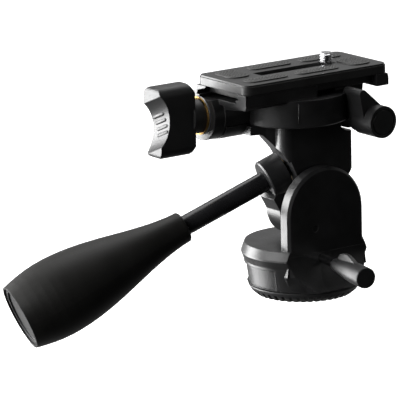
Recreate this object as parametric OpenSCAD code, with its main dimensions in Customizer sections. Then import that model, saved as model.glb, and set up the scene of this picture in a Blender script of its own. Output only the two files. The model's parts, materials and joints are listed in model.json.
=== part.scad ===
// Three way pan tilt head.
// Origin: middle of the base ring's underside, on the pan axis. +Z is up, +Y runs along the
// release plate away from the wing knob, +X is the outward side of the cheek.

/* [Base] */
// Radius of the base ring at its lip
base_r = 25.7; // [25:0.1:27]
// Height of the base ring
base_h = 4.8; // [4.4:0.1:6]
// Thickness of the base ring's floor
base_floor = 1.4; // [1.2:0.1:1.6]
// Number of grip grooves round the base ring
groove_count = 42; // [24:1:60]
// Radius of the grip grooves
groove_r = 0.8; // [0.5:0.1:1]
// Radius of the spindle's flange
flange_r = 16; // [15:0.5:18]
// Radius of the pan spindle
spindle_r = 9; // [8.5:0.1:10]
// Height of the spindle's top above the floor it stands on
spindle_top = 22; // [21.5:0.1:22.2]
// Radius of the 3/8 inch tripod thread
socket_r = 4.7625; // [4.7:0.0125:4.8]
// Depth of the tripod thread
socket_depth = 11; // [8:0.5:12]
// Outer radius of the threaded bush
bush_r = 6.5; // [6:0.1:7]
// Shank radius of the base screws
base_screw_r = 1.5; // [1.25:0.05:1.75]
// Distance of the base screws from the pan axis
base_screw_pcr = 12; // [11.5:0.1:12.5]

/* [Pan body] */
// Thickness of the pan washer
pan_washer_t = 0.5; // [0.4:0.05:0.8]
// Radius of the drum's widest shoulder
drum_r = 28.8; // [28:0.1:30]
// Height of the drum's top face
drum_top = 24.3; // [23.8:0.1:25]
// Radius of the drum's flat top face
drum_top_r = 27.2; // [26:0.1:28]
// Depth of the recessed panel in the drum's side
panel_depth = 0.8; // [0.4:0.1:1.2]
// Outer face of the cheek
cheek_face = 17.5; // [17:0.1:18]
// Thickness of the cheek
cheek_t = 6.5; // [6:0.1:7]
// Radius of the cheek's round head
cheek_r = 21.3; // [20:0.1:22]
// Chamfer round the cheek's outer face
cheek_chamfer = 1.2; // [0.6:0.1:1.6]

/* [Tilt axis] */
// Height of the tilt axis
tilt_z = 39.4; // [39:0.1:40.5]
// Radius of the tilt shaft
tilt_r = 7.5; // [6:0.1:8]
// Radius of the cheek's inner boss
tilt_boss_r = 10.6; // [10:0.1:11]
// Radius of the neck's lug round the shaft
lug_r = 13.4; // [12:0.1:14]
// Width of the lug along the shaft
lug_w = 10.5; // [10:0.1:10.8]
// Thickness of the nylon friction washer
friction_t = 0.5; // [0.3:0.05:0.6]
// Thickness of the washer on the shaft's end
end_washer_t = 1.3; // [1:0.1:2]
// Shank radius of the screw in the shaft's end
tilt_screw_r = 2; // [1.5:0.1:2.5]

/* [Neck] */
// Half width of the neck across the tilt shaft
neck_half = 10; // [9.5:0.1:10.4]
// Reach of the neck on the plate lock's side
neck_back = 21.5; // [20:0.1:22]
// Height of the neck's top
neck_top = 80.5; // [80:0.1:80.6]
// Width of the clamp's slot
slot_w = 1.4; // [0.8:0.1:2]
// Rounding of the neck's front left corner
neck_corner = 5; // [3:0.5:6]

/* [Handle] */
// Angle of the handle below level
handle_drop = 23.4; // [20:0.1:26]
// Angle of the handle away from the plate's length
handle_splay = 16; // [13:0.5:18]
// Radius of the clamp boss that the handle passes
boss_r = 9.35; // [8.5:0.05:10]
// Length of the clamp boss beyond the slot
boss_len = 9.7; // [9:0.1:11]
// Radius of the handle rod
rod_r = 4.6; // [4.4:0.05:5]
// Radius of the rod's threaded stud
stud_r = 4; // [3:0.1:4.2]
// Length of the rod from the boss face to the grip
rod_bare = 42.9; // [35:0.1:60]
// Length of the grip
grip_len = 85.9; // [70:0.1:100]
// Radius of the grip's mouth
grip_mouth_r = 7.25; // [6.5:0.05:8]
// Largest radius of the grip
grip_r = 18.2; // [15:0.1:20]
// Radius of the grip's rear end
grip_end_r = 15.4; // [14:0.1:17]
// Outer radius of the threaded insert in the neck
insert_r = 6; // [5.5:0.1:6.5]
// Length of the threaded insert in the neck
insert_len = 11; // [8:0.5:12]

/* [Side tilt hinge] */
// Sideways place of the hinge axis
hinge_x = -14; // [-14.3:0.1:-13.7]
// Height of the hinge axis
hinge_z = 86.6; // [86.3:0.1:87]
// Radius of the hinge shaft
hinge_r = 4.9; // [4.5:0.1:5.5]
// Radius of the neck's knuckle core
knuckle_core_r = 8; // [7.5:0.1:8.5]
// Radius of the hinge barrel
knuckle_r = 12; // [11.6:0.1:12.2]
// Length of the neck's knuckle
knuckle_len = 14.4; // [13:0.1:15]
// End of the knuckle towards the wing knob
knuckle_end = -39.4; // [-39.8:0.1:-39]
// Radius of the platform's boss on the hinge
hinge_boss_r = 11.6; // [10.5:0.1:12]
// Length of the platform's boss on the hinge
hinge_boss_len = 6.6; // [6:0.1:7.5]
// Thickness of the hinge's friction washer
hinge_washer_t = 0.3; // [0.2:0.05:0.35]
// Radius of the bronze washer and the thrust ring
washer_r = 8.8; // [8:0.1:9.5]
// Thickness of the bronze washer and of the thrust ring
washer_t = 0.8; // [0.6:0.05:1]

/* [Wing knob] */
// Height of the wing knob's oval body
wing_h = 32.6; // [28:0.1:36]
// Thickness of the wing knob's oval body
wing_w = 13; // [11:0.1:15]
// Length of the wing knob's body along the hinge
wing_len = 19; // [17:0.1:21]
// Radius of the wing knob's hub
wing_hub_r = 8; // [7.2:0.1:8.5]
// Length of the wing knob's hub
wing_hub_len = 5.3; // [4:0.1:6]
// Thread radius of the hinge shaft's end
wing_thread_r = 4; // [3:0.1:4.2]
// Radius of the diagonal thumb groove
thumb_r = 14.6; // [12:0.1:18]

/* [Platform] */
// Radius of the platform's drum
platform_r = 24.8; // [24:0.1:25.2]
// Height of the platform's underside
platform_z = 80.8; // [80.7:0.05:81]
// Sideways middle of the platform and of the plate
plate_x = -3; // [-3.3:0.1:-2.7]
// Middle of the plate along its length
plate_y = -2.1; // [-2.5:0.1:-1.7]
// Floor of the plate channel
channel_z = 96.2; // [96:0.05:96.4]
// Height of the channel's walls above its floor
channel_wall = 2.8; // [2.4:0.05:2.9]
// Clearance of the plate in its channel
channel_gap = 0.15; // [0.1:0.05:0.2]

/* [Release plate] */
// Length of the release plate
plate_len = 80.3; // [76:0.1:84]
// Width of the release plate
plate_w = 38.4; // [36:0.1:42]
// Thickness of the plate above its foot
plate_t = 4.4; // [3.8:0.1:5]
// Height of the dovetail foot
foot_h = 2.9; // [2.6:0.1:3]
// Half width of the foot at its bottom
foot_half = 13; // [12.5:0.1:13.5]
// Corner radius of the plate
plate_corner = 4; // [2:0.5:6]
// Thickness of the rubber sheet's raised pads
pad_t = 0.85; // [0.5:0.05:1.2]
// Width of the camera screw's slot
screw_slot_w = 6.8; // [6.6:0.1:7.2]
// Travel of the camera screw along the slot
screw_travel = 35.6; // [25:0.1:37]
// Radius of the camera screw (1/4 inch thread)
camera_screw_r = 3.175; // [3.15:0.0125:3.2]
// Radius of the camera screw's relieved shank in the plate
screw_shank_r = 2.6; // [2.2:0.1:2.8]
// Length of the camera screw above the pads
camera_screw_out = 4.15; // [4:0.05:5.5]
// Radius of the camera screw's head
screw_head_r = 6.4; // [6.2:0.1:6.6]

/* [Plate lock] */
// Place of the lock shaft along the plate
lock_y = 20.7; // [20.4:0.1:21]
// Height of the lock shaft
lock_z = 81.3; // [81.1:0.1:81.6]
// Radius of the lock shaft
lock_r = 3; // [2.5:0.1:3.2]
// Offset of the lock shaft's eccentric
lock_throw = 0.8; // [0.5:0.1:1]
// Radius of the lock's housing
lock_housing_r = 6.5; // [6:0.1:6.8]
// Radius of the lock knob's hub
lock_hub_r = 5.3; // [4.8:0.1:5.6]
// Radius of the lock knob's round end
lock_cap_r = 7.35; // [6.5:0.05:8]
// Reach of the lock knob's wing from its axis
lock_wing = 14.9; // [12:0.1:15.1]
// Radius of the plunger under the plate
plunger_r = 2; // [1.8:0.05:2.1]
// Sideways place of the plunger, under the solid side of the plate's foot
plunger_x = 6.6; // [6.5:0.05:6.8]

/* [Pan lock] */
// Height of the pan lock's rod
pan_lock_z = 19.2; // [19:0.1:19.4]
// Bearing of the pan lock's rod, from +X towards -Y
pan_lock_turn = 10; // [6:1:14]
// Radius of the pan lock's rod
pan_rod_r = 2.05; // [1.8:0.05:2.2]
// Distance of the pan lock knob's far end from the pan axis
pan_knob_end = 61.4; // [56:0.1:66]
// Radius of the pan lock's knob
pan_knob_r = 4.8; // [4.2:0.1:5.2]
// Reach of the pan lock knob's wing
pan_wing = 9; // [8:0.1:10]

/* [Hidden] */
$fn = 64;

// clearances
run = 0.05;      // running fit, on the radius
seat = 0.05;     // between faces that slide on each other
air = 0.3;       // between castings that pass each other
eps = 0.01;

// heights and widths that follow from the sizes above
pan_bottom = base_h + air;
flange_top = pan_bottom - pan_washer_t - seat;
cheek_in = cheek_face - cheek_t;
lug_in = -neck_half;
lug_out = lug_in + lug_w;
boss_face = lug_out + 2 * seat + friction_t;
shaft_end = lug_in - air;
bush_cap = 2;
// the base ring's grooves follow its tapered wall
taper_foot = base_r - 3.7;
taper_head = base_r - 0.4;
taper_head_z = 3.6;
taper_lean = atan2(taper_head - taper_foot, taper_head_z);
groove_depth = 0.7;
// handle
clamp_point = [-4.75, -8.57, 56.1];
slot_near = -1.1;
slot_far = slot_near - slot_w;
boss_end = slot_near + boss_len;
grip_start = boss_end + rod_bare;
grip_stop = grip_start + grip_len;
// hinge
hinge_boss_in = knuckle_end - hinge_washer_t - 2 * seat;
hinge_boss_out = hinge_boss_in - hinge_boss_len;
knuckle_start = knuckle_end + knuckle_len;
thrust_out = hinge_boss_out - seat - washer_t;
bronze_out = thrust_out - washer_t;
hub_in = bronze_out - seat;
wing_in = hub_in - wing_hub_len;
wing_out = wing_in - wing_len;
// plate
wall_top = channel_z + channel_wall;
foot_z = channel_z + 0.1;
rim_z = foot_z + foot_h;
flank_lean = 0.5;
web_z = rim_z + 0.8;
deck_z = rim_z + plate_t;
pad_top = deck_z + pad_t;
plate_end = plate_y - plate_len / 2;
tray_lip = 2.45;
tray_end = hinge_boss_in - tray_lip;
stop_out = plate_y + plate_len / 2 - 0.25;
stop_y = stop_out - 6.8;
stop_screw_z = 94.7;
stop_screw_r = 1;
screw_y = 16.8;
slot_y0 = screw_y - screw_travel;
thread_z = pad_top + 0.1;
head_room = 1.1;
thread_end = pad_top + camera_screw_out - 0.6;
// plate lock
lock_in = -8;
lock_collar = 12;
lock_knob_in = lock_collar + air;
lock_wing_in = 16.8;
lock_cap_in = 32.6;
lock_wing_lean = 29.3;
cam_half = plunger_r + 0.3;
// pan lock
shoe_r = 2.85;
pan_wing_in = 32;
pan_wing_out = 50;

// ---------- helpers ----------

// a flat outline drawn in Y and Z, thickened along X
module yz_prism(x0, x1) {
    translate([x0, 0, 0]) rotate([90, 0, 90]) linear_extrude(x1 - x0) children();
}

// a flat outline drawn in X and Z, thickened along Y
module xz_prism(y0, y1) {
    translate([0, y1, 0]) rotate([90, 0, 0]) linear_extrude(y1 - y0) children();
}

module x_rod(r, x0, x1, y, z) {
    translate([x0, y, z]) rotate([0, 90, 0]) cylinder(r = r, h = x1 - x0);
}

module y_rod(r, y0, y1, x, z) {
    translate([x, y1, z]) rotate([90, 0, 0]) cylinder(r = r, h = y1 - y0);
}

module block(x0, x1, y0, y1, z0, z1) {
    translate([x0, y0, z0]) cube([x1 - x0, y1 - y0, z1 - z0]);
}

// the handle's own frame: local +Z runs down the handle from the clamp point
module along_handle() {
    translate(clamp_point) rotate([90 + handle_drop, 0, -handle_splay]) children();
}

// local +Z runs outwards along the pan lock's rod
module along_pan_lock() {
    translate([0, 0, pan_lock_z]) rotate([0, 90, -pan_lock_turn]) children();
}

// points of an arc
function arc(x, y, r, a0, a1, n = 8) =
    [for (i = [0:n]) [x + r * cos(a0 + (a1 - a0) * i / n), y + r * sin(a0 + (a1 - a0) * i / n)]];

// round of radius r1 with a smaller round of radius r2 at a distance reach along +Y
module teardrop(r1, r2, reach) {
    lean = asin((r1 - r2) / reach);
    circle(r1);
    translate([0, reach]) circle(r2);
    polygon([[r1 * cos(lean), r1 * sin(lean)],
        [r2 * cos(lean), reach + r2 * sin(lean)],
        [-r2 * cos(lean), reach + r2 * sin(lean)],
        [-r1 * cos(lean), r1 * sin(lean)]]);
}

// rectangle with round corners, drawn round its middle
module round_rect(w, h, r) {
    square([w - 2 * r, h], center = true);
    square([w, h - 2 * r], center = true);
    for (sx = [-1, 1], sy = [-1, 1])
        translate([sx * (w / 2 - r), sy * (h / 2 - r)]) circle(r);
}

// slice of a ring between two angles
module ring_slice(r0, r1, a0, a1) {
    polygon(concat(arc(0, 0, r1, a0, a1, 24), arc(0, 0, r0, a1, a0, 24)));
}

// ---------- base ----------

module base_ring() {
    color("#2b2c2e") difference() {
        rotate_extrude() polygon([[0, 0], [taper_foot, 0], [base_r - 1.3, 2],
            [taper_head, taper_head_z], [base_r, 4.2], [base_r, base_h], [0, base_h]]);
        translate([0, 0, base_floor]) cylinder(r = flange_r + 0.1, h = base_h);
        translate([0, 0, -1]) cylinder(r = bush_r + 0.1, h = base_h);
        base_screw_places() {
            translate([0, 0, -1]) cylinder(r = base_screw_r + 0.15, h = 4);
            translate([0, 0, -eps]) cylinder(r1 = 2 * base_screw_r + 0.1, r2 = base_screw_r + 0.1, h = 1.2);
        }
        for (i = [0:groove_count - 1]) rotate([0, 0, i * 360 / groove_count])
            translate([taper_foot, 0, 0]) rotate([0, taper_lean, 0])
                translate([groove_r - groove_depth, 0, -1.5])
                    cylinder(r = groove_r, h = 5.6, $fn = 24);
    }
}

module base_screw_places() {
    for (a = [30, 150, 270]) rotate([0, 0, a]) translate([base_screw_pcr, 0, 0]) children();
}

module thread_bush() {
    color("#b9b4a6") difference() {
        cylinder(r = bush_r, h = socket_depth + bush_cap);
        translate([0, 0, -1]) cylinder(r = socket_r, h = socket_depth + 1);
    }
}

module pan_spindle() {
    color("#9a9c9f") difference() {
        union() {
            translate([0, 0, base_floor]) cylinder(r = flange_r, h = flange_top - base_floor);
            translate([0, 0, base_floor]) cylinder(r = spindle_r, h = spindle_top - base_floor);
        }
        cylinder(r = bush_r, h = socket_depth + bush_cap);
        base_screw_places() cylinder(r = base_screw_r, h = flange_top - 0.3);
        rotate_extrude() translate([0, pan_lock_z]) polygon([[spindle_r + 1, -2.6],
            [spindle_r - 1.8, -0.4], [spindle_r - 1.8, 0.4], [spindle_r + 1, 2.6]]);
    }
}

module base_screws() {
    color("#8d8f92") base_screw_places() difference() {
        union() {
            translate([0, 0, 0.1]) cylinder(r1 = 2 * base_screw_r - 0.1, r2 = base_screw_r, h = 1.1);
            translate([0, 0, 0.1]) cylinder(r = base_screw_r, h = flange_top - 0.6);
        }
        for (a = [0, 90]) rotate([0, 0, a]) block(-1.3, 1.3, -0.25, 0.25, 0, 0.7);
    }
}

module pan_washer() {
    color("#e8e6df") translate([0, 0, flange_top]) difference() {
        cylinder(r = flange_r - 0.4, h = pan_washer_t);
        translate([0, 0, -1]) cylinder(r = spindle_r + run, h = pan_washer_t + 2);
    }
}

// ---------- pan body ----------

// radius of the flared skirt under the cheek's face
skirt_top = drum_top - 0.3;
function skirt_r(z) = cheek_face + (base_r - 0.1 - cheek_face)
    * pow((skirt_top - z) / (skirt_top - pan_bottom), 2.2);

module pan_body() {
    color("#3a3b3e") difference() {
        union() {
            intersection() {
                rotate_extrude($fn = 96) polygon([[0, pan_bottom], [base_r - 0.1, pan_bottom],
                    [base_r + 0.6, pan_bottom + 0.8], [drum_r - 1.3, 15], [drum_r - 1.2, 16.3],
                    [drum_r, 19.6], [drum_r - 0.1, 20.4], [drum_top_r, drum_top], [0, drum_top]]);
                block(-40, cheek_face, -40, 40, 0, 40);
            }
            rotate_extrude($fn = 96) polygon(concat([[0, skirt_top], [0, pan_bottom]],
                [for (i = [0:10]) let (z = pan_bottom + (skirt_top - pan_bottom) * i / 10)
                    [skirt_r(z), z]]));
            cheek();
            x_rod(tilt_boss_r, boss_face, cheek_in + 1, 0, tilt_z);
            translate([cheek_in - 1.5, 0, tilt_z]) rotate([0, 90, 0])
                cylinder(r1 = tilt_boss_r, r2 = tilt_boss_r + 1.6, h = 1.6);
        }
        rotate([0, 0, -174]) rotate_extrude(angle = 108, $fn = 96)
            polygon([[base_r + 0.55 - panel_depth, pan_bottom + 0.7], [drum_r + 2, pan_bottom + 0.7],
                [drum_r + 2, 15], [drum_r - 1.3 - panel_depth, 15]]);
        x_rod(tilt_r, boss_face - 1, cheek_face - 2.5, 0, tilt_z);
        translate([0, 0, 0]) cylinder(r = spindle_r + run, h = spindle_top + 0.5);
        along_pan_lock() {
            cylinder(r = shoe_r + run, h = 12);
            cylinder(r = pan_rod_r + run, h = 40);
        }
        x_rod(1.6, cheek_face - 0.5, cheek_face + 1, -6.15, 33.2);
    }
}

module cheek() {
    side = cheek_r;
    translate([cheek_in, 0, tilt_z]) rotate([0, 90, 0]) rotate_extrude($fn = 96)
        polygon([[0, 0], [cheek_r - 0.5, 0], [cheek_r, 0.5], [cheek_r, cheek_t - cheek_chamfer],
            [cheek_r - cheek_chamfer, cheek_t], [0, cheek_t]]);
    translate([0, 0, 10]) linear_extrude(tilt_z - 10) polygon([[cheek_in, -side + 0.5],
        [cheek_in + 0.5, -side], [cheek_face - cheek_chamfer, -side], [cheek_face, -side + cheek_chamfer],
        [cheek_face, side - cheek_chamfer], [cheek_face - cheek_chamfer, side], [cheek_in + 0.5, side],
        [cheek_in, side - 0.5]]);
    // the cheek spreads where it grows out of the drum
    yz_prism(cheek_in, cheek_face) polygon([[-side - 1.2, 12.7], [side + 1.2, 12.7],
        [side, 22], [-side, 22]]);
}

module pan_shoe() {
    color("#b08d4a") along_pan_lock() {
        translate([0, 0, spindle_r + 0.15]) cylinder(r = shoe_r, h = 2.3);
        translate([0, 0, spindle_r - 1.3]) cylinder(r1 = 0.3, r2 = 1.5, h = 1.5);
    }
}

module pan_lock_rod() {
    color("#c9cbce") along_pan_lock() translate([0, 0, 11.55])
        cylinder(r = pan_rod_r, h = 32.45);
}

module pan_lock_knob() {
    color("#1d1e20") difference() {
        along_pan_lock() {
            translate([0, 0, 37]) cylinder(r = pan_knob_r, h = pan_knob_end - 37 - 0.8);
            translate([0, 0, pan_knob_end - 0.8]) cylinder(r1 = pan_knob_r, r2 = pan_knob_r - 0.8, h = 0.8);
            // the wing points back towards the handle and is cut off on a slant
            intersection() {
                translate([0, 0, pan_wing_in]) rotate([0, 0, 180])
                    linear_extrude(pan_wing_out - pan_wing_in) teardrop(pan_knob_r - 0.6, 1.6, pan_wing);
                rotate([90, 0, 90]) translate([0, 0, -20]) linear_extrude(40)
                    polygon([[-12, pan_wing_in], [10, pan_wing_in], [10, 56], [-2, 56], [-12, 40]]);
            }
        }
        along_pan_lock() cylinder(r = pan_rod_r, h = 44);
    }
}

// ---------- tilt shaft ----------

module tilt_shaft() {
    color("#a8aaad") difference() {
        x_rod(tilt_r, shaft_end, cheek_face - 2.5, 0, tilt_z);
        x_rod(tilt_screw_r, shaft_end - 1, shaft_end + 8.6, 0, tilt_z);
    }
}

module tilt_friction_washer() {
    color("#e8e6df") difference() {
        x_rod(tilt_boss_r - 0.3, lug_out + seat, lug_out + seat + friction_t, 0, tilt_z);
        x_rod(tilt_r + run, lug_out - 1, lug_out + 3, 0, tilt_z);
    }
}

module tilt_end_washer() {
    color("#8d8f92") difference() {
        x_rod(tilt_r + 1.1, shaft_end - end_washer_t, shaft_end, 0, tilt_z);
        x_rod(tilt_screw_r + run, shaft_end - end_washer_t - 1, shaft_end + 1, 0, tilt_z);
    }
}

module tilt_screw() {
    head = shaft_end - end_washer_t;
    color("#8d8f92") difference() {
        union() {
            x_rod(1.8 * tilt_screw_r, head - 2.2, head, 0, tilt_z);
            x_rod(tilt_screw_r, head, shaft_end + 8, 0, tilt_z);
        }
        translate([head - 3, 0, tilt_z]) rotate([0, 90, 0])
            cylinder(r = 1.15 * tilt_screw_r, h = 2.2, $fn = 6);
    }
}

// ---------- neck ----------

module neck() {
    color("#47484b") difference() {
        union() {
            difference() {
                intersection() {
                    neck_side();
                    neck_plan();
                }
                under_arch();
            }
            x_rod(lug_r, lug_in, lug_out, 0, tilt_z);
            yz_prism(lug_in, lug_out) polygon([[-lug_r, tilt_z], [-14.9, 42.2], [-16.7, 45.2],
                [-15.6, 47.4], [-8.5, 57], [0, 60], [neck_back, 60], [neck_back, 56], [18.6, 52.4],
                [16, 47.5], [14.2, 43.5], [lug_r, tilt_z]]);
            along_handle() {
                translate([0, 0, slot_near]) cylinder(r = boss_r, h = boss_len - 0.6);
                translate([0, 0, boss_end - 0.6]) cylinder(r1 = boss_r, r2 = boss_r - 0.6, h = 0.6);
            }
            knuckle();
        }
        x_rod(tilt_r + run, lug_in - 1, lug_out + 1, 0, tilt_z);
        x_rod(tilt_boss_r + 0.6, lug_out, neck_half + 1, 0, tilt_z);
        handle_passage();
        platform_sweep();
        // trough for the plate lock's housing
        x_rod(lock_housing_r + 1.1, -neck_half - 1, neck_half + 1, lock_y, lock_z);
        y_rod(hinge_r, knuckle_end - 1, knuckle_start - 1.6, hinge_x, hinge_z);
    }
}

// the neck's block seen from the cheek's side, with the arm that reaches to the hinge
module neck_side() {
    yz_prism(-30, neck_half) polygon(concat([[knuckle_start - 3, 74]],
        [[-9, 45], [3, 50], [13, 50.4], [18, 52.4]],
        arc(neck_back - 2, 57.5, 2, -45, 0, 4),
        [[neck_back, neck_top], [knuckle_start - 3, neck_top]]));
}

// the neck seen from above: the block with its rounded corners and the narrower arm
module neck_plan() {
    translate([0, 0, 40]) linear_extrude(60) {
        polygon(concat(arc(neck_half - neck_corner, -12.2, neck_corner, 0, -90, 8),
            [[-neck_half, -17.2]],
            arc(-neck_half + 1.5, neck_back - 1.5, 1.5, 180, 90, 4),
            arc(neck_half - 1.5, neck_back - 1.5, 1.5, 90, 0, 4)));
        polygon([[4, -16], [1, -21], [-1, knuckle_start - 3], [hinge_x - 2, knuckle_start - 3],
            [hinge_x - 2, knuckle_start + 4], [-neck_half, -12], [4, -12]]);
    }
}

// open space under the arched arm, cut square to the handle down to the clamp's slot
module under_arch() {
    plane = function (z) (slot_near - slot_w / 2 + sin(handle_drop) * (z - clamp_point[2]))
        / cos(handle_drop);
    translate([clamp_point[0], clamp_point[1], 0]) rotate([90, 0, 90 - handle_splay])
        translate([0, 0, -40]) linear_extrude(80) mirror([1, 0])
            polygon(concat([[60, 76.4], [17, 76.4]], arc(13.5, 73, 3.4, 90, 140, 4),
                [[7.2, 71.4], [3.5, 66.8], [1.4, 63.1], [plane(61.5), 61.5],
                [plane(40), 40], [60, 40]]));
}

// barrel of the side tilt hinge on the neck: a full core and a lower outer shell
module knuckle() {
    y_rod(knuckle_core_r, knuckle_end, knuckle_start, hinge_x, hinge_z);
    xz_prism(knuckle_end, knuckle_start) translate([hinge_x, hinge_z])
        ring_slice(knuckle_core_r - 1, knuckle_r, -105, -25);
}

// slot, clearance hole and insert seat of the tilt clamp
module handle_passage() {
    along_handle() {
        translate([-30, -19, slot_far]) cube([60, 26.5, slot_w]);
        translate([0, 0, slot_near - 1]) cylinder(r = stud_r + 0.1, h = boss_len + 2);
        translate([0, 0, boss_end]) cylinder(r = rod_r + 0.4, h = 20);
        translate([0, 0, slot_far - insert_len]) cylinder(r = insert_r, h = insert_len + 1);
        translate([0, 0, slot_far - insert_len - 4]) cylinder(r = stud_r + 0.3, h = 5);
    }
}

// room for the drum as the platform swings over to the side
module platform_sweep() {
    reach = 15.3;
    intersection() {
        // once swung over, the drum's underside stands upright here
        block(hinge_x - 20, hinge_x + hinge_z - platform_z + air, knuckle_start, 30, 60, 95);
        union() {
            y_rod(reach, -14, 30, hinge_x, hinge_z);
            translate([hinge_x, -14 + eps, hinge_z]) rotate([90, 0, 0])
                cylinder(r1 = reach, r2 = 9, h = knuckle_start * -1 - 14 + 2 * eps);
        }
    }
}

module clamp_insert() {
    color("#b08d4a") along_handle() difference() {
        translate([0, 0, slot_far - insert_len]) cylinder(r = insert_r, h = insert_len - 0.2);
        translate([0, 0, slot_far - insert_len - 1]) cylinder(r = stud_r + run, h = insert_len + 2);
    }
}

// ---------- handle ----------

module handle_rod() {
    color("#26272a") along_handle() {
        translate([0, 0, boss_end + seat]) cylinder(r = rod_r, h = grip_stop - boss_end - 12);
        translate([0, 0, slot_far - insert_len]) cylinder(r = stud_r, h = insert_len + boss_len + slot_w + 1);
    }
}

// grip radius at a share s of its length from the mouth
function grip_at(s) = s < 0.78
    ? grip_mouth_r + (grip_r - grip_mouth_r) * pow(sin(90 * s / 0.78), 1.75)
    : grip_r - (grip_r - grip_end_r) * pow((s - 0.78) / 0.22, 1.8);

module handle_grip() {
    steps = 20;
    color("#3c3d3f") along_handle() translate([0, 0, grip_start]) rotate_extrude($fn = 64)
        polygon(concat([[rod_r, 0], [grip_mouth_r - 0.7, 0], [grip_mouth_r, 0.7]],
            [for (i = [1:steps]) [grip_at(i / steps), grip_len * i / steps]],
            [[grip_end_r - 1, grip_len], [grip_end_r - 1, grip_len - 3], [rod_r, grip_len - 3]]));
}

module grip_end_cap() {
    color("#1f2022") along_handle() translate([0, 0, grip_stop - 3]) {
        difference() {
            cylinder(r = grip_end_r - 1.1, h = 2.2);
            translate([0, 0, 1.4]) cylinder(r = grip_end_r - 3, h = 2);
        }
        translate([0, 0, -5]) cylinder(r = rod_r - run, h = 5.5);
    }
}

// ---------- side tilt hinge and wing knob ----------

module hinge_shaft() {
    color("#a8aaad") {
        y_rod(hinge_r, hinge_boss_out, knuckle_start - 1.6, hinge_x, hinge_z);
        y_rod(wing_thread_r, wing_in - 8, hinge_boss_out + 1, hinge_x, hinge_z);
    }
}

module hinge_ring(r_in, r_out, y0, t) {
    difference() {
        y_rod(r_out, y0, y0 + t, hinge_x, hinge_z);
        y_rod(r_in, y0 - 1, y0 + t + 1, hinge_x, hinge_z);
    }
}

module hinge_washer() {
    color("#e8e6df") hinge_ring(hinge_r + run, knuckle_core_r - 0.2,
        knuckle_end - seat - hinge_washer_t, hinge_washer_t);
}

module thrust_ring() {
    color("#aeb0b3") hinge_ring(wing_thread_r + run, washer_r, thrust_out, washer_t);
}

module bronze_washer() {
    color("#a9823c") hinge_ring(wing_thread_r + run, washer_r, bronze_out, washer_t);
}

module wing_knob() {
    color("#3a3b3d") difference() {
        union() {
            y_rod(wing_hub_r, wing_in - 1, hub_in, hinge_x, hinge_z);
            intersection() {
                xz_prism(wing_out, wing_in) translate([hinge_x, hinge_z])
                    round_rect(wing_w, wing_h, 4.5);
                translate([0, 0, hinge_z]) wing_side();
            }
        }
        translate([hinge_x, wing_out - thumb_r + 4.9, hinge_z - 1.2]) rotate([0, 90 - 21.8, 0])
            translate([0, 0, -30]) cylinder(r = thumb_r, h = 60);
        y_rod(wing_thread_r + 2, wing_in - 9, hub_in + 1, hinge_x, hinge_z);
    }
}

// the wing's long side, drawn round the hinge axis: rounded ends and a chamfered back
module wing_side() {
    top = wing_h / 2;
    yz_prism(hinge_x - wing_w, hinge_x + wing_w) polygon(concat(
        [[wing_in - 2.2, -top], [wing_in, -top + 4], [wing_in, top - 4], [wing_in - 2.2, top]],
        arc(wing_out + 2.4, top - 2.4, 2.4, 90, 180, 6),
        arc(wing_out + 2.4, -top + 2.4, 2.4, 180, 270, 6)));
}

module knob_insert() {
    color("#b08d4a") difference() {
        y_rod(wing_thread_r + 2, wing_in - 9, hub_in, hinge_x, hinge_z);
        y_rod(wing_thread_r + run, wing_in - 10, hub_in + 1, hinge_x, hinge_z);
    }
}

// ---------- platform ----------

module platform() {
    color("#3d3e41") difference() {
        union() {
            translate([plate_x, plate_y, platform_z]) {
                cylinder(r1 = platform_r - 0.6, r2 = platform_r, h = 0.6, $fn = 96);
                translate([0, 0, 0.6]) cylinder(r = platform_r, h = 12, $fn = 96);
            }
            receiver();
            lock_housing();
            hinge_block();
        }
        knuckle_room();
        xz_prism(tray_end - 5, stop_y) dovetail(channel_z, wall_top + 0.2, channel_gap);
        // open end under the plate
        block(plate_x - 11, plate_x + 11, tray_end - 5, -31.6, channel_z - 1.6, channel_z + 1);
        y_rod(hinge_r + run, hinge_boss_out - 1, hinge_boss_in + 1, hinge_x, hinge_z);
        x_rod(lock_r + run, lock_in - 0.1, lock_collar + 1, lock_y, lock_z);
        translate([plunger_x, lock_y, lock_z]) cylinder(r = plunger_r + run, h = 20);
        stop_screws_room(0);
        // clearance round the lock knob's hub and wing
        x_rod(lock_hub_r + 0.4, lock_collar, lock_wing_in + 1, lock_y, lock_z);
        lock_wing_shape(lock_wing_in - 0.4, 14, 0.4);
    }
}

// cross-section of the dovetail, wider by a gap on each flank
module dovetail(z0, z1, gap) {
    flank = function (z) foot_half + gap - flank_lean * (z - foot_z);
    polygon([[plate_x - flank(z0), z0], [plate_x - flank(z1), z1],
        [plate_x + flank(z1), z1], [plate_x + flank(z0), z0]]);
}

// the tray that takes the plate's foot
module receiver() {
    x_back = plate_x - 19;
    // rear and middle
    xz_prism(tray_end, stop_y) polygon([[x_back, 95.4], [x_back + 3, 93.2],
        [5, 93.2], [12.5, 95.3], [12.5, wall_top], [x_back, wall_top]]);
    // deeper front wall at the wing knob's end, tapering into the drum
    difference() {
        xz_prism(tray_end, -2) polygon([[-18, 92.4], [14.4, 92.2], [15.6, 93.4],
            [15.6, wall_top], [-18, wall_top]]);
        translate([12.6, -8, 90]) rotate([0, 0, 62]) cube([14, 14, 20]);
    }
}

module lock_housing() {
    x_rod(lock_housing_r, lock_in, neck_half - 1, lock_y, lock_z);
    x_rod(lock_hub_r + 0.1, neck_half - 2, lock_collar, lock_y, lock_z);
    yz_prism(lock_in, neck_half - 1) polygon([[lock_y - lock_housing_r, lock_z], [lock_y + lock_housing_r, lock_z],
        [lock_y + lock_housing_r + 1.5, 95], [lock_y - lock_housing_r - 2, 95]]);
}

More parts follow.
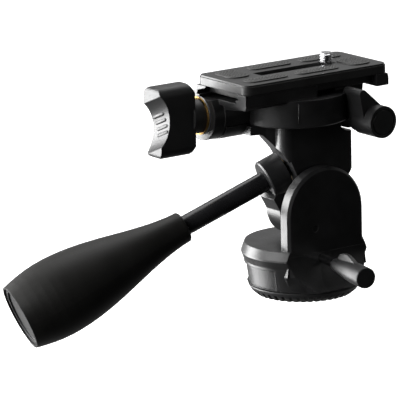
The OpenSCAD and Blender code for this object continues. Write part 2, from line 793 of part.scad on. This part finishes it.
// boss on the hinge and the upper shell that closes over the neck's knuckle
module hinge_block() {
    y_rod(hinge_boss_r, hinge_boss_out, hinge_boss_in, hinge_x, hinge_z);
    xz_prism(hinge_boss_in - 1, knuckle_start + air)
        translate([hinge_x, hinge_z]) ring_slice(knuckle_core_r, knuckle_r, -22, 160);
    xz_prism(hinge_boss_in - 1, -14) {
        polygon([[hinge_x - 9, hinge_z + 7.4], [hinge_x + 9, hinge_z + 7], [hinge_x + 11.4, hinge_z + 3.4],
            [14, 92], [14, 95], [hinge_x - 8, 95]]);
    }
}

// all that the neck's knuckle sweeps through while the platform swings over
module knuckle_room() {
    xz_prism(hinge_boss_in, knuckle_start + air) translate([hinge_x, hinge_z]) {
        circle(knuckle_core_r + 0.2);
        ring_slice(knuckle_core_r, knuckle_r + air, -200, -22);
    }
}

// the two screws of the end stop run along the plate channel, under its floor
module stop_screws_room(gap) {
    for (x = [-13, 1]) {
        y_rod(stop_screw_r + gap, stop_y - 8, stop_out, x, stop_screw_z);
        if (gap > 0) y_rod(2 * stop_screw_r, stop_out - 1.4, stop_out + 1, x, stop_screw_z);
    }
}

module stop_block() {
    color("#2a2b2d") difference() {
        yz_prism(plate_x - 19, 16.2) polygon([[stop_y + seat, 93.6], [stop_out, 93.6],
            [stop_out, wall_top - 1.5], [stop_out - 0.6, wall_top], [stop_y + seat, wall_top]]);
        stop_screws_room(run);
    }
}

module stop_screws() {
    color("#8d8f92") difference() {
        union() {
            stop_screws_room(0);
            for (x = [-13, 1])
                y_rod(2 * stop_screw_r - 0.1, stop_out - 1.3, stop_out - 0.1, x, stop_screw_z);
        }
        for (x = [-13, 1])
            block(x - 3, x + 3, stop_out - 0.1, stop_out + 2, stop_screw_z - 3, stop_screw_z + 3);
    }
}

// ---------- plate lock ----------

module lock_shaft() {
    color("#a8aaad") {
        x_rod(lock_r, lock_in, plunger_x - cam_half, lock_y, lock_z);
        x_rod(lock_r, plunger_x + cam_half, lock_knob_in + 15, lock_y, lock_z);
        x_rod(lock_r - lock_throw - 0.1, plunger_x - cam_half - 1, plunger_x + cam_half + 1,
            lock_y, lock_z + lock_throw);
    }
}

// the lock knob's wing, grown by a gap
module lock_wing_shape(x0, length, gap) {
    translate([x0, lock_y, lock_z]) rotate([90, 0, 90]) rotate([0, 0, lock_wing_lean])
        linear_extrude(length) teardrop(lock_cap_r - 0.6 + gap, 2 + gap, lock_wing);
}

module lock_knob() {
    color("#4a4b4e") difference() {
        union() {
            x_rod(lock_hub_r, lock_knob_in, lock_wing_in + 1, lock_y, lock_z);
            lock_wing_shape(lock_wing_in, 12.2, 0);
            x_rod(lock_cap_r, lock_wing_in + 3, lock_cap_in, lock_y, lock_z);
        }
        x_rod(lock_r, 0, lock_knob_in + 15, lock_y, lock_z);
    }
}

module lock_cap() {
    color("#1f2022") difference() {
        x_rod(lock_cap_r, lock_cap_in, lock_cap_in + 1.4, lock_y, lock_z);
        difference() {
            x_rod(lock_cap_r - 1.2, lock_cap_in + 0.9, lock_cap_in + 2, lock_y, lock_z);
            x_rod(lock_cap_r - 1.8, lock_cap_in, lock_cap_in + 3, lock_y, lock_z);
        }
    }
}

module lock_plunger() {
    low = lock_z + lock_r + 0.2;
    color("#c9cbce") translate([plunger_x, lock_y, low])
        cylinder(r = plunger_r, h = foot_z - seat - low);
}

// ---------- release plate ----------

module release_plate() {
    inner = screw_head_r + head_room;
    color("#505154") difference() {
        union() {
            translate([plate_x, plate_y, rim_z]) {
                cylinder_plate(plate_t - 0.8);
                translate([0, 0, plate_t - 0.8]) linear_extrude(0.8)
                    round_rect(plate_w - 1, plate_len - 1, plate_corner - 0.5);
            }
            xz_prism(plate_end + 2.4, stop_y - 0.3) dovetail(foot_z, rim_z + 0.5, 0);
        }
        long_slot(screw_slot_w / 2, foot_z - 1, pad_top + 1);
        long_slot(inner, foot_z - 1, web_z);
    }
}

module cylinder_plate(t) {
    linear_extrude(t) round_rect(plate_w, plate_len, plate_corner);
}

// slot along the plate in which the camera screw travels
module long_slot(r, z0, z1) {
    block(plate_x - r, plate_x + r, slot_y0 - r, screw_y + r, z0, z1);
}

// one raised pad and its twin, turned half a turn about the plate's middle
module pad_pair(x0, x1, y0, y1, r) {
    for (a = [0, 180]) translate([plate_x, plate_y, deck_z]) rotate([0, 0, a])
        translate([(x0 + x1) / 2 - plate_x, (y0 + y1) / 2 - plate_y, 0])
            linear_extrude(pad_t) round_rect(x1 - x0, y1 - y0, r);
}

module plate_pads() {
    color("#6a6b6d") {
        pad_pair(4, 11.5, -36.5, -14, 3.6);
        pad_pair(-17.5, -10.9, -18.7, 4.3, 3.2);
        pad_pair(-17.3, -1.6, -37, -25.6, 4);
    }
}

module camera_screw() {
    head_z = foot_z + 0.4;
    color("#d8d9db") difference() {
        union() {
            translate([plate_x, screw_y, head_z]) cylinder(r = screw_head_r, h = 2);
            translate([plate_x, screw_y, head_z]) cylinder(r = screw_shank_r, h = thread_z - head_z + 0.5);
            translate([plate_x, screw_y, thread_z]) cylinder(r = camera_screw_r, h = thread_end - thread_z);
            translate([plate_x, screw_y, thread_end])
                cylinder(r1 = camera_screw_r, r2 = camera_screw_r - 0.6, h = 0.6);
        }
        block(plate_x - 4.5, plate_x + 4.5, screw_y - 0.8, screw_y + 0.8, head_z - 1, head_z + 1);
    }
}

module screw_clip() {
    color("#8d8f92") translate([plate_x, screw_y, foot_z + 2.5]) difference() {
        cylinder(r = screw_head_r - 0.4, h = 0.9);
        translate([0, 0, -1]) cylinder(r = screw_shank_r + run, h = 3);
    }
}

base_ring();
thread_bush();
pan_spindle();
base_screws();
pan_washer();
pan_body();
pan_shoe();
pan_lock_rod();
pan_lock_knob();
tilt_shaft();
tilt_friction_washer();
tilt_end_washer();
tilt_screw();
neck();
clamp_insert();
handle_rod();
handle_grip();
grip_end_cap();
hinge_shaft();
hinge_washer();
thrust_ring();
bronze_washer();
wing_knob();
knob_insert();
platform();
stop_block();
stop_screws();
lock_shaft();
lock_knob();
lock_cap();
lock_plunger();
release_plate();
plate_pads();
camera_screw();
screw_clip();
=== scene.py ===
import json
from math import cos, pi, radians, sin, sqrt

import bmesh
import bpy
from mathutils import Matrix, Vector


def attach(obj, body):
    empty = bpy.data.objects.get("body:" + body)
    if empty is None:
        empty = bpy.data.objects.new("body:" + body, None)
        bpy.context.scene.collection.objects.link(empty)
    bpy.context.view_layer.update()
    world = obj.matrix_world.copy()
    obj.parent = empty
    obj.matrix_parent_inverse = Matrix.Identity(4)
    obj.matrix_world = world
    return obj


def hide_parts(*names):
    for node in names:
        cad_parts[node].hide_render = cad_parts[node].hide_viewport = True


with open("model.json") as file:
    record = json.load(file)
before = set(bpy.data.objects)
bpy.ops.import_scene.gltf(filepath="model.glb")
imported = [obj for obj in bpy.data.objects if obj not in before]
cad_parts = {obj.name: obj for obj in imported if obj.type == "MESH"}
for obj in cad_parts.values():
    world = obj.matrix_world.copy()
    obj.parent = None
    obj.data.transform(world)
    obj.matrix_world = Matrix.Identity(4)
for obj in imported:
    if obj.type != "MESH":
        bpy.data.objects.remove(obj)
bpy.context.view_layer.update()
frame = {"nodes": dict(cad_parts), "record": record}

MM = 0.001
X = Vector((1, 0, 0))
Y = Vector((0, 1, 0))
Z = Vector((0, 0, 1))
nodes = frame["nodes"]
slot_of = {s["node"]: s["material_slot"] for s in frame["record"]["subparts"]}

# ---------- camera ----------

AZIMUTH = radians(54.8)
ELEVATION = radians(13.34)
ROLL = radians(-1.4)
CAMERA_AT = Vector((1.4238, -1.0618, 0.4647))
LENS = 360
SENSOR = 36
FARTHEST = 100


def make_camera():
    back = Vector((sin(AZIMUTH) * cos(ELEVATION),
                   -cos(AZIMUTH) * cos(ELEVATION), sin(ELEVATION)))
    level = Vector((cos(AZIMUTH), sin(AZIMUTH), 0))
    upright = back.cross(level)
    right = level * cos(ROLL) + upright * sin(ROLL)
    up = upright * cos(ROLL) - level * sin(ROLL)
    data = bpy.data.cameras.new("camera")
    data.lens = LENS
    data.sensor_width = SENSOR
    data.clip_end = FARTHEST
    camera = bpy.data.objects.new("camera", data)
    turn = Matrix((right, up, back)).transposed()
    camera.matrix_world = Matrix.Translation(CAMERA_AT) @ turn.to_4x4()
    bpy.context.scene.collection.objects.link(camera)
    bpy.context.scene.camera = camera


# ---------- shader nodes ----------

# colour sockets of the mix node
MIX_A = 6
MIX_B = 7
MIX_OUT = 2


def add(tree, kind, values=(), props=()):
    node = tree.nodes.new(kind)
    for key, value in dict(props).items():
        setattr(node, key, value)
    for key, value in dict(values).items():
        node.inputs[key].default_value = value
    return node


def noise(tree, coords, size, detail, stretch=(1, 1, 1)):
    """Noise whose grains are about size metres across."""
    mapping = add(tree, "ShaderNodeMapping", {"Scale": [s / size for s in stretch]})
    texture = add(tree, "ShaderNodeTexNoise", {"Scale": 1.0, "Detail": detail})
    tree.links.new(coords.outputs["Object"], mapping.inputs["Vector"])
    tree.links.new(mapping.outputs[0], texture.inputs["Vector"])
    return texture.outputs["Fac"]


def remap(tree, source, low, high, start=0.3, end=0.7):
    """Goes from low to high while the source goes from start to end."""
    node = add(tree, "ShaderNodeMapRange",
               {"From Min": start, "From Max": end, "To Min": low, "To Max": high})
    tree.links.new(source, node.inputs["Value"])
    return node.outputs[0]


# ---------- studio ----------

FLOOR_Z = -0.12
FLOOR_HALF = 30
FLOOR_TONE = 0.9
FLOOR_ROUGH = 0.9
FLOOR_GLOW = 0.75
# strength of the surroundings and the directions along X between which it changes
WORLD_DARK = 0.02
WORLD_LIGHT = 0.55
DARK_SIDE = 0.5
LIGHT_SIDE = -0.8
LIGHTS_AIM = Vector((0, 0, 0.05))
# name, place, side and watts
LIGHTS = [
    ("left_panel", (-0.75, -0.65, 0.05), 0.9, 42),
    ("key", (0.0, -1.1, 0.45), 0.8, 12),
    ("top", (-0.35, 0.25, 1.1), 1.0, 9),
    ("fill", (1.0, 0.7, 0.5), 0.8, 0.6),
]


def make_floor():
    mesh = bpy.data.meshes.new("floor")
    bm = bmesh.new()
    corners = [(-1, -1), (1, -1), (1, 1), (-1, 1)]
    bm.faces.new([bm.verts.new((x * FLOOR_HALF, y * FLOOR_HALF, FLOOR_Z)) for x, y in corners])
    bm.to_mesh(mesh)
    bm.free()
    floor = bpy.data.objects.new("floor", mesh)
    bpy.context.scene.collection.objects.link(floor)
    mat = bpy.data.materials.new("floor")
    mat.use_nodes = True
    shader = mat.node_tree.nodes["Principled BSDF"]
    shader.inputs["Base Color"].default_value = (FLOOR_TONE, FLOOR_TONE, FLOOR_TONE, 1)
    shader.inputs["Roughness"].default_value = FLOOR_ROUGH
    shader.inputs["Emission Color"].default_value = (1, 1, 1, 1)
    shader.inputs["Emission Strength"].default_value = FLOOR_GLOW
    mesh.materials.append(mat)
    # the floor takes shadows and light, and doesn't show in the part's gloss
    floor.visible_glossy = False
    floor.visible_diffuse = False


def make_world():
    """White to the camera, and brighter on the light side to everything else."""
    world = bpy.data.worlds.new("studio")
    world.use_nodes = True
    bpy.context.scene.world = world
    tree = world.node_tree
    tree.nodes.clear()
    link = tree.links.new
    out = add(tree, "ShaderNodeOutputWorld")
    coords = add(tree, "ShaderNodeTexCoord")
    split = add(tree, "ShaderNodeSeparateXYZ")
    seen = add(tree, "ShaderNodeLightPath")
    soft = add(tree, "ShaderNodeBackground")
    white = add(tree, "ShaderNodeBackground", {"Strength": 1.0})
    mix = add(tree, "ShaderNodeMixShader")
    link(coords.outputs["Generated"], split.inputs[0])
    strength = remap(tree, split.outputs["X"], WORLD_DARK, WORLD_LIGHT, DARK_SIDE, LIGHT_SIDE)
    link(strength, soft.inputs["Strength"])
    link(seen.outputs["Is Camera Ray"], mix.inputs[0])
    link(soft.outputs[0], mix.inputs[1])
    link(white.outputs[0], mix.inputs[2])
    link(mix.outputs[0], out.inputs["Surface"])


def make_light(name, at, size, power):
    data = bpy.data.lights.new(name, "AREA")
    data.shape = "RECTANGLE"
    data.size = size
    data.size_y = size
    data.energy = power
    lamp = bpy.data.objects.new(name, data)
    lamp.location = at
    aim = LIGHTS_AIM - Vector(at)
    lamp.rotation_mode = "QUATERNION"
    lamp.rotation_quaternion = aim.to_track_quat("-Z", "Y")
    lamp.visible_camera = False
    bpy.context.scene.collection.objects.link(lamp)


# ---------- materials ----------

# a softened corner is worn where it has turned this far, as a cosine: fully, and not any more
WORN = 0.8
UNWORN = 0.97
# heights of the grain between which it breaks up the wear
GRAIN_KEEPS = 0.35
GRAIN_WEARS = 0.6
# how far the grain moves the roughness
GRAIN_ROUGH = 0.03

# grain and patch are sizes, depth the grain's height and edge the softened corner, in metres;
# wear is how much of the lighter metal a worn corner shows
FINISHES = {
    "casting": dict(colour=(0.013, 0.013, 0.0135), rough=0.37, grain=0.0006, depth=0.00003,
                    wear=0.35, wear_colour=(0.12, 0.12, 0.12), edge=0.0005),
    "black_plastic": dict(colour=(0.012, 0.012, 0.0125), rough=0.48, grain=0.0004,
                          depth=0.000015),
    "knob_plastic": dict(colour=(0.013, 0.013, 0.0135), rough=0.46, grain=0.0005,
                         depth=0.00002, edge=0.0006),
    "grip_plastic": dict(colour=(0.009, 0.0087, 0.008), rough=0.5, grain=0.0007,
                         depth=0.00004, patch=0.02, gloss=0.22),
    "rod_black": dict(colour=(0.010, 0.010, 0.011), rough=0.25, grain=0.0009, depth=0.00001),
    "plate_plastic": dict(colour=(0.02, 0.02, 0.02), rough=0.42, grain=0.0005, depth=0.00002,
                          edge=0.0005),
    "rubber": dict(colour=(0.042, 0.042, 0.041), rough=0.6, grain=0.0004, depth=0.00002),
    "steel": dict(colour=(0.62, 0.62, 0.63), rough=0.42, metallic=1.0, grain=0.0003,
                  depth=0.000004, stretch=(1, 1, 6)),
    "chrome": dict(colour=(0.62, 0.62, 0.63), rough=0.17, metallic=1.0, grain=0.0008,
                   depth=0.000002),
    "brass": dict(colour=(0.55, 0.36, 0.13), rough=0.32, metallic=1.0, grain=0.0004,
                  depth=0.000004),
    "bronze": dict(colour=(0.42, 0.25, 0.08), rough=0.34, metallic=1.0, grain=0.0004,
                   depth=0.000004),
    "nylon": dict(colour=(0.72, 0.71, 0.66), rough=0.5, grain=0.0006, depth=0.000008,
                  spread=0.05),
}


def opaque(colour, factor=1):
    return [c * factor for c in colour] + [1]


def worn_corners(tree, bevel, fine, colour, wear, wear_colour):
    """The colour, with the worn one where a softened corner turns away, broken up by the grain."""
    link = tree.links.new
    shape = add(tree, "ShaderNodeNewGeometry")
    dot = add(tree, "ShaderNodeVectorMath", props={"operation": "DOT_PRODUCT"})
    link(bevel.outputs[0], dot.inputs[0])
    link(shape.outputs["Normal"], dot.inputs[1])
    broken = add(tree, "ShaderNodeMath", props={"operation": "MULTIPLY"})
    link(remap(tree, dot.outputs["Value"], wear, 0, WORN, UNWORN), broken.inputs[0])
    link(remap(tree, fine, 0, 1, GRAIN_KEEPS, GRAIN_WEARS), broken.inputs[1])
    worn = add(tree, "ShaderNodeMix", props={"data_type": "RGBA"})
    worn.inputs[MIX_B].default_value = opaque(wear_colour)
    link(broken.outputs[0], worn.inputs[0])
    link(colour, worn.inputs[MIX_A])
    return worn.outputs[MIX_OUT]


def surface(name, colour, rough, metallic=0.0, grain=0.0005, depth=0.00002, patch=0.012,
            spread=0.3, rough_spread=0.06, edge=0.0004, wear=0.0, wear_colour=(0.3, 0.3, 0.3),
            stretch=(1, 1, 1), gloss=0.5):
    """A finish with grain of a real size, uneven tone and gloss, soft edges and worn corners."""
    mat = bpy.data.materials.new(name)
    mat.use_nodes = True
    tree = mat.node_tree
    link = tree.links.new
    shader = tree.nodes["Principled BSDF"]
    shader.inputs["Metallic"].default_value = metallic
    shader.inputs["Specular IOR Level"].default_value = gloss
    coords = add(tree, "ShaderNodeTexCoord")
    fine = noise(tree, coords, grain, 3, stretch)
    broad = noise(tree, coords, patch, 4)

    tone = add(tree, "ShaderNodeMix", props={"data_type": "RGBA"})
    tone.inputs[MIX_A].default_value = opaque(colour, 1 - spread)
    tone.inputs[MIX_B].default_value = opaque(colour, 1 + spread)
    link(remap(tree, broad, 0, 1), tone.inputs[0])
    colour_out = tone.outputs[MIX_OUT]

    bevel = add(tree, "ShaderNodeBevel", {"Radius": edge}, {"samples": 4})
    bump = add(tree, "ShaderNodeBump", {"Strength": 1.0, "Distance": depth})
    link(fine, bump.inputs["Height"])
    link(bevel.outputs[0], bump.inputs["Normal"])
    link(bump.outputs[0], shader.inputs["Normal"])

    if wear:
        colour_out = worn_corners(tree, bevel, fine, colour_out, wear, wear_colour)
    link(colour_out, shader.inputs["Base Color"])

    uneven = add(tree, "ShaderNodeMath", props={"operation": "ADD"})
    link(remap(tree, broad, rough - rough_spread, rough + rough_spread), uneven.inputs[0])
    link(remap(tree, fine, -GRAIN_ROUGH, GRAIN_ROUGH), uneven.inputs[1])
    link(uneven.outputs[0], shader.inputs["Roughness"])
    return mat


# ---------- pieces, in millimetres like the part's source ----------

def new_object(name, bm):
    bmesh.ops.scale(bm, vec=(MM, MM, MM), verts=bm.verts)
    bmesh.ops.recalc_face_normals(bm, faces=bm.faces)
    mesh = bpy.data.meshes.new(name)
    bm.to_mesh(mesh)
    bm.free()
    obj = bpy.data.objects.new(name, mesh)
    bpy.context.scene.collection.objects.link(obj)
    return obj


def piece(name, bm, slot, body, *replaced):
    obj = new_object(name, bm)
    obj.data.materials.append(materials[slot])
    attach(obj, body)
    if replaced:
        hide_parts(*replaced)
    return obj


def cut(obj, bm):
    """Takes the shape in bm out of a piece."""
    cutter = new_object("cutter", bm)
    change = obj.modifiers.new("cut", "BOOLEAN")
    change.operation = "DIFFERENCE"
    change.solver = "EXACT"
    change.object = cutter
    graph = bpy.context.evaluated_depsgraph_get()
    result = bpy.data.meshes.new_from_object(obj.evaluated_get(graph))
    obj.modifiers.clear()
    obj.data = result
    bpy.data.objects.remove(cutter)


def loft(bm, rings, smooth=True):
    """Closed skin through rings of equally many points."""
    rows = [[bm.verts.new(p) for p in ring] for ring in rings]
    count = len(rows[0])
    for low, high in zip(rows, rows[1:]):
        for i in range(count):
            j = (i + 1) % count
            bm.faces.new((low[i], low[j], high[j], high[i])).smooth = smooth
    bm.faces.new(rows[0][::-1])
    bm.faces.new(rows[-1])


def turned(profile, foot, axis, u, v, count):
    """Rings round an axis through foot: the profile's radii along u and v, and its distances."""
    angles = [2 * pi * i / count for i in range(count)]
    return [[foot + axis * along + u * (r * cos(a)) + v * (r * sin(a)) for a in angles]
            for r, along in profile]


PLATE_X = -3
PLATE_Y = -2.1
DECK_Z = 103.6
PAD_TOP = 104.45


# camera screw: slotted head, relieved shank and a rolled thread

SCREW_FOOT = Vector((PLATE_X, 16.8, 96.7))
HEAD_R = 6.4
HEAD_T = 2
HEAD_EDGE = 0.3
SLOT_HALF = (5.5, 0.8, 1)
SHANK_R = 2.6
SHANK_END = 104.6
ROOT_R = 2.5
THREAD_R = 3.175
THREAD_Z = 104.5
THREAD_END = 108.0
SCREW_TOP = 108.6
PITCH = 1.27
# share of a turn from the crest's middle down to the root, and how much of the crest is cut off
FLANK = 0.42
CREST_CUT = 1.15
THREAD_ROWS = 42
THREAD_STEPS = 72


def thread_r(angle, z):
    turn = ((z - THREAD_Z) / PITCH - angle / (2 * pi)) % 1
    flank = min(1, CREST_CUT * max(0, 1 - abs(turn - 0.5) / FLANK))
    return min(ROOT_R + (THREAD_R - ROOT_R) * flank, THREAD_R - max(0, z - THREAD_END))


def make_camera_screw():
    head = [(HEAD_R - HEAD_EDGE, 0), (HEAD_R, HEAD_EDGE), (HEAD_R, HEAD_T - HEAD_EDGE),
            (HEAD_R - HEAD_EDGE, HEAD_T), (SHANK_R, HEAD_T), (SHANK_R, SHANK_END - SCREW_FOOT.z)]
    bm = bmesh.new()
    loft(bm, turned(head, SCREW_FOOT, Z, X, Y, 64), smooth=False)
    screw = piece("slotted_camera_screw", bm, "chrome", "camera_screw", "camera_screw")
    bm = bmesh.new()
    bmesh.ops.create_cube(bm, size=2, matrix=Matrix.Translation(SCREW_FOOT)
                          @ Matrix.Diagonal((*SLOT_HALF, 1)))
    cut(screw, bm)

    bm = bmesh.new()
    rings = []
    for k in range(THREAD_ROWS + 1):
        z = THREAD_Z + (SCREW_TOP - THREAD_Z) * k / THREAD_ROWS
        ring = []
        for i in range(THREAD_STEPS):
            a = 2 * pi * i / THREAD_STEPS
            r = thread_r(a, z)
            ring.append(Vector((SCREW_FOOT.x + r * cos(a), SCREW_FOOT.y + r * sin(a), z)))
        rings.append(ring)
    loft(bm, rings)
    piece("camera_screw_thread", bm, "chrome", "camera_screw")


# pads with a cross-hatched top of small pyramids

HATCH = 1.8
HATCH_DEPTH = 0.36
HATCH_SUNK = 0.05
PAD_MARGIN = 0.1
# x0, x1, y0, y1 and corner radius; each has a twin, half a turn about the plate's middle away
PADS = [
    (4, 11.5, -36.5, -14, 3.6),
    (-17.5, -10.9, -18.7, 4.3, 3.2),
    (-17.3, -1.6, -37, -25.6, 4),
]


def twin(x0, x1, y0, y1, r):
    return 2 * PLATE_X - x1, 2 * PLATE_X - x0, 2 * PLATE_Y - y1, 2 * PLATE_Y - y0, r


def pad_outline(x0, x1, y0, y1, r, z, steps=8):
    points = []
    for cx, cy, start in ((x1 - r, y1 - r, 0), (x0 + r, y1 - r, 90),
                          (x0 + r, y0 + r, 180), (x1 - r, y0 + r, 270)):
        for i in range(steps + 1):
            a = radians(start + 90 * i / steps)
            points.append(Vector((cx + r * cos(a), cy + r * sin(a), z)))
    return points


def on_pad(x, y, pad, margin):
    x0, x1, y0, y1, r = pad
    over_x = max(x0 + r - x, 0, x - x1 + r)
    over_y = max(y0 + r - y, 0, y - y1 + r)
    return sqrt(over_x * over_x + over_y * over_y) < r - margin


def pyramid(bm, x, y, half, low):
    foot = [bm.verts.new((x + dx, y + dy, low))
            for dx, dy in ((half, 0), (0, half), (-half, 0), (0, -half))]
    tip = bm.verts.new((x, y, PAD_TOP))
    bm.faces.new(foot[::-1])
    for k in range(4):
        bm.faces.new((foot[k], foot[(k + 1) % 4], tip))


def make_pads():
    bm = bmesh.new()
    top = PAD_TOP - HATCH_DEPTH
    half = HATCH / 2
    for first in PADS:
        for pad in (first, twin(*first)):
            x0, x1, y0, y1, _ = pad
            loft(bm, [pad_outline(*pad, z) for z in (DECK_Z, top)], smooth=False)
            for i in range(int((x1 - x0) / half) + 1):
                for j in range(int((y1 - y0) / half) + 1):
                    x = x0 + i * half
                    y = y0 + j * half
                    if (i + j) % 2 == 0 and on_pad(x, y, pad, half + PAD_MARGIN):
                        pyramid(bm, x, y, half, top - HATCH_SUNK)
    piece("hatched_pads", bm, "rubber", "release_plate", "plate_pads")


# raised index line on the platform's drum

DRUM_R = 24.8
LINE_AT = radians(-31.06)
LINE_SUNK = 0.1
LINE_R = 0.38
LINE_TIP_R = 0.1
# radius and height
LINE = [(LINE_TIP_R, 83.2), (LINE_R, 83.5), (LINE_R, 92.0), (LINE_TIP_R, 92.3)]


def make_index_line():
    out = X * cos(LINE_AT) + Y * sin(LINE_AT)
    foot = Vector((PLATE_X, PLATE_Y, 0)) + out * (DRUM_R - LINE_SUNK)
    bm = bmesh.new()
    loft(bm, turned(LINE, foot, Z, X, Y, 20))
    piece("index_line", bm, "casting", "platform")


# ribs in the thumb hollow of the wing knob

THUMB_R = 14.6
THUMB_CENTRE = Vector((-14, -82.1, 85.4))
THUMB_LEAN = radians(21.8)
RIB_ANGLES = (-17, -6, 5, 16)
RIB_HALF_WIDTH = 0.85
RIB_HEIGHT = 0.6
RIB_SUNK = 0.15
# share of the section and distance from the rib's middle
RIB = [(0.1, -4.6), (0.6, -4.4), (1, -3.8), (1, 3.8), (0.6, 4.4), (0.1, 4.6)]


def make_thumb_ribs():
    along = X * cos(THUMB_LEAN) + Z * sin(THUMB_LEAN)
    across = Z * cos(THUMB_LEAN) - X * sin(THUMB_LEAN)
    bm = bmesh.new()
    for angle in RIB_ANGLES:
        a = radians(angle)
        out = Y * cos(a) + across * sin(a)
        side = across * cos(a) - Y * sin(a)
        seat = THUMB_CENTRE + out * (THUMB_R + RIB_SUNK)
        loft(bm, turned(RIB, seat, along, side * RIB_HALF_WIDTH, out * RIB_HEIGHT, 24))
    piece("thumb_ribs", bm, "knob_plastic", "wing_knob")


# pan lock's knob: hub that widens outwards, with a thin wing on top

LOCK_FOOT = Vector((0, 0, 19.2))
LOCK_TURN = radians(10)
# radius and distance along the rod, from the bore's end to the outer face
HUB = [(2.15, 44), (2.15, 32.2), (2.8, 32), (3.0, 32.3), (3.25, 35), (3.9, 41), (4.45, 46),
       (4.8, 51), (4.8, 60.6), (4.7, 60.9), (4.45, 61.1)]
# distance along the rod and height over it
WING = [(33.2, 1), (34.6, 3.6), (36.4, 5.4), (38.8, 6.6), (41.8, 7.2), (44.6, 7.1), (47.2, 6.5),
        (49.8, 5.6), (52.6, 4.6), (54, 3.5), (54, 1)]
WING_HALF = 0.95
# place across the wing, as a share of its half thickness, and size of the outline there
WING_SIDES = [(-1, 0.93), (-0.6, 1), (0.6, 1), (1, 0.93)]


def make_pan_lock_knob():
    axis = X * cos(LOCK_TURN) - Y * sin(LOCK_TURN)
    side = X * sin(LOCK_TURN) + Y * cos(LOCK_TURN)
    bm = bmesh.new()
    loft(bm, turned(HUB, LOCK_FOOT, axis, side, Z, 64))
    outline = [LOCK_FOOT + axis * along + Z * high for along, high in WING]
    middle = sum(outline, Vector()) / len(outline)
    loft(bm, [[middle + (p - middle) * size + side * (WING_HALF * t) for p in outline]
              for t, size in WING_SIDES], smooth=False)
    piece("pan_lock_winged_knob", bm, "knob_plastic", "pan_lock", "pan_lock_knob")


# sweep by which the cheek's flat face runs out to the ring, laid over the casting's skirt

CHEEK_FACE = 17.5
CHEEK_EDGE = 1.2
SWEEP_IN = 12.5
SWEEP_OUT = 25.4
SWEEP_TOP = 22
SWEEP_FOOT = 5.0
# how far it stands proud of the cheek's face, and how far it stays off the drum's side and foot
OVER = 0.01
UNDER = 0.02
# half width of the cheek's foot at its widest height, and how it narrows over and under that
FOOT_HALF = 22.6
FOOT_Z = 12.7
NARROWS_OVER = 0.13
NARROWS_UNDER = 0.35
# height and radius of the drum's side
DRUM = [(5.0, 25.6), (5.8, 26.3), (15, 27.5), (16.3, 27.6), (19.6, 28.8), (20.4, 28.7),
        (24.3, 27.2)]
SWEEP_STEPS = 24


def drum_r(z):
    for (z0, r0), (z1, r1) in zip(DRUM, DRUM[1:]):
        if z <= z1:
            return r0 + (r1 - r0) * (z - z0) / (z1 - z0)
    return DRUM[-1][1]


def sweep_ring(z, face):
    """Outline at a height: along the drum or the cheek's edge on both sides, and the face."""
    r = drum_r(z) - UNDER
    wide = FOOT_HALF - abs(z - FOOT_Z) * (NARROWS_OVER if z > FOOT_Z else NARROWS_UNDER)
    edge = []
    for i in range(SWEEP_STEPS + 1):
        x = SWEEP_IN + (face - SWEEP_IN) * i / SWEEP_STEPS
        edge.append((x, max(sqrt(r * r - x * x), wide - max(0, x - CHEEK_FACE + CHEEK_EDGE))))
    y_end = edge[-1][1]
    return ([Vector((x, -y, z)) for x, y in edge]
            + [Vector((face, y_end * (2 * i / SWEEP_STEPS - 1), z)) for i in range(1, SWEEP_STEPS)]
            + [Vector((x, y, z)) for x, y in edge[::-1]])


def make_sweep():
    drop = SWEEP_TOP - SWEEP_FOOT
    reach = SWEEP_OUT - CHEEK_FACE
    bend = (drop * drop + reach * reach) / (2 * reach)
    rings = []
    for k in range(SWEEP_STEPS + 1):
        z = SWEEP_FOOT + UNDER + (drop - UNDER) * k / SWEEP_STEPS
        face = CHEEK_FACE + bend - sqrt(bend * bend - (SWEEP_TOP - z) ** 2) + OVER
        rings.append(sweep_ring(z, face))
    bm = bmesh.new()
    loft(bm, rings, smooth=False)
    piece("cheek_sweep", bm, "casting", "pan_body")


# ---------- scene ----------

materials = {name: surface(name, **finish) for name, finish in FINISHES.items()}
for name, obj in nodes.items():
    obj.data.materials.clear()
    obj.data.materials.append(materials[slot_of[name]])

make_camera_screw()
make_pads()
make_index_line()
make_thumb_ribs()
make_pan_lock_knob()
make_sweep()
make_camera()
make_floor()
make_world()
for light in LIGHTS:
    make_light(*light)

scene = bpy.context.scene
scene.view_settings.view_transform = "Standard"
scene.view_settings.look = "None"
